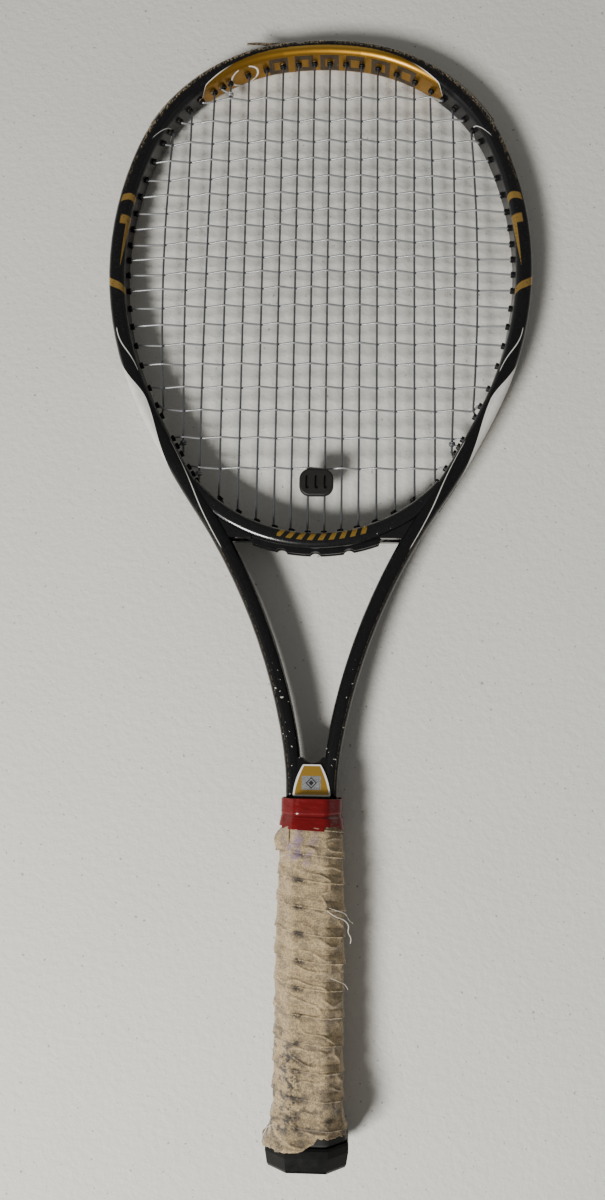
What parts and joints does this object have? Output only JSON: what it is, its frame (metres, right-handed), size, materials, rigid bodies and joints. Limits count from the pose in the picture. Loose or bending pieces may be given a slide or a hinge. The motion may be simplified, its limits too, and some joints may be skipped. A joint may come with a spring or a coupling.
{
  "type": "tennis racket",
  "caption": "Strung tennis racket with a hollow tubular frame, woven string bed, octagonal wrapped handle, flared butt cap and vibration dampener.",
  "frame": {"origin": "centre of the butt cap's end face", "axes": "+Y along the racket from the butt to the head tip, +X to the right across the string bed, +Z square to the string bed, which lies in Z = 0"},
  "size_m": [0.2668, 0.6858, 0.0412],
  "materials": {
    "frame_paint": "gloss lacquer over carbon laminate",
    "bridge_paint": "gloss lacquer over carbon laminate",
    "bumper_plastic": "scuffed satin",
    "grommet_plastic": "satin",
    "main_string_nylon": "semi-gloss monofilament",
    "cross_string_nylon": "semi-gloss monofilament",
    "dampener_rubber": "matt",
    "badge_plastic": "metallic, gold with a silver centre",
    "handle_foam": "moulded polyurethane skin",
    "cap_plastic": "satin",
    "staple_steel": "bright wire",
    "base_grip_leather": "cushioned synthetic",
    "overgrip_fabric": "worn, dirty and fibrous",
    "finishing_tape_vinyl": "gloss vinyl"
  },
  "bodies": {
    "racket": {"frame_tube": "frame_paint", "throat_bridge": "bridge_paint", "bumper_guard": "bumper_plastic", "right_side_grommet_strip": "grommet_plastic", "left_side_grommet_strip": "grommet_plastic", "right_lower_grommet_strip": "grommet_plastic", "left_lower_grommet_strip": "grommet_plastic", "throat_grommet_strip": "grommet_plastic", "main_string": "main_string_nylon", "cross_string": "cross_string_nylon", "throat_web": "frame_paint", "throat_badge": "badge_plastic", "upper_pallet": "handle_foam", "lower_pallet": "handle_foam", "tube_end_plugs": "handle_foam", "butt_cap": "cap_plastic", "cap_staples": "staple_steel", "grip_tack": "staple_steel", "base_grip": "base_grip_leather", "overgrip": "overgrip_fabric", "finishing_tape": "finishing_tape_vinyl"},
    "dampener": {"vibration_dampener": "dampener_rubber"},
    "door": {"butt_door": "cap_plastic"}
  },
  "joints": [
    {"name": "dampener_slide", "type": "slide", "parent": "racket", "child": "dampener", "axis": [0, -1, 0], "range_m": [0, 0.02]},
    {"name": "door_pull_out", "type": "slide", "parent": "racket", "child": "door", "axis": [0, -1, 0], "range_m": [0, 0.03]}
  ]
}
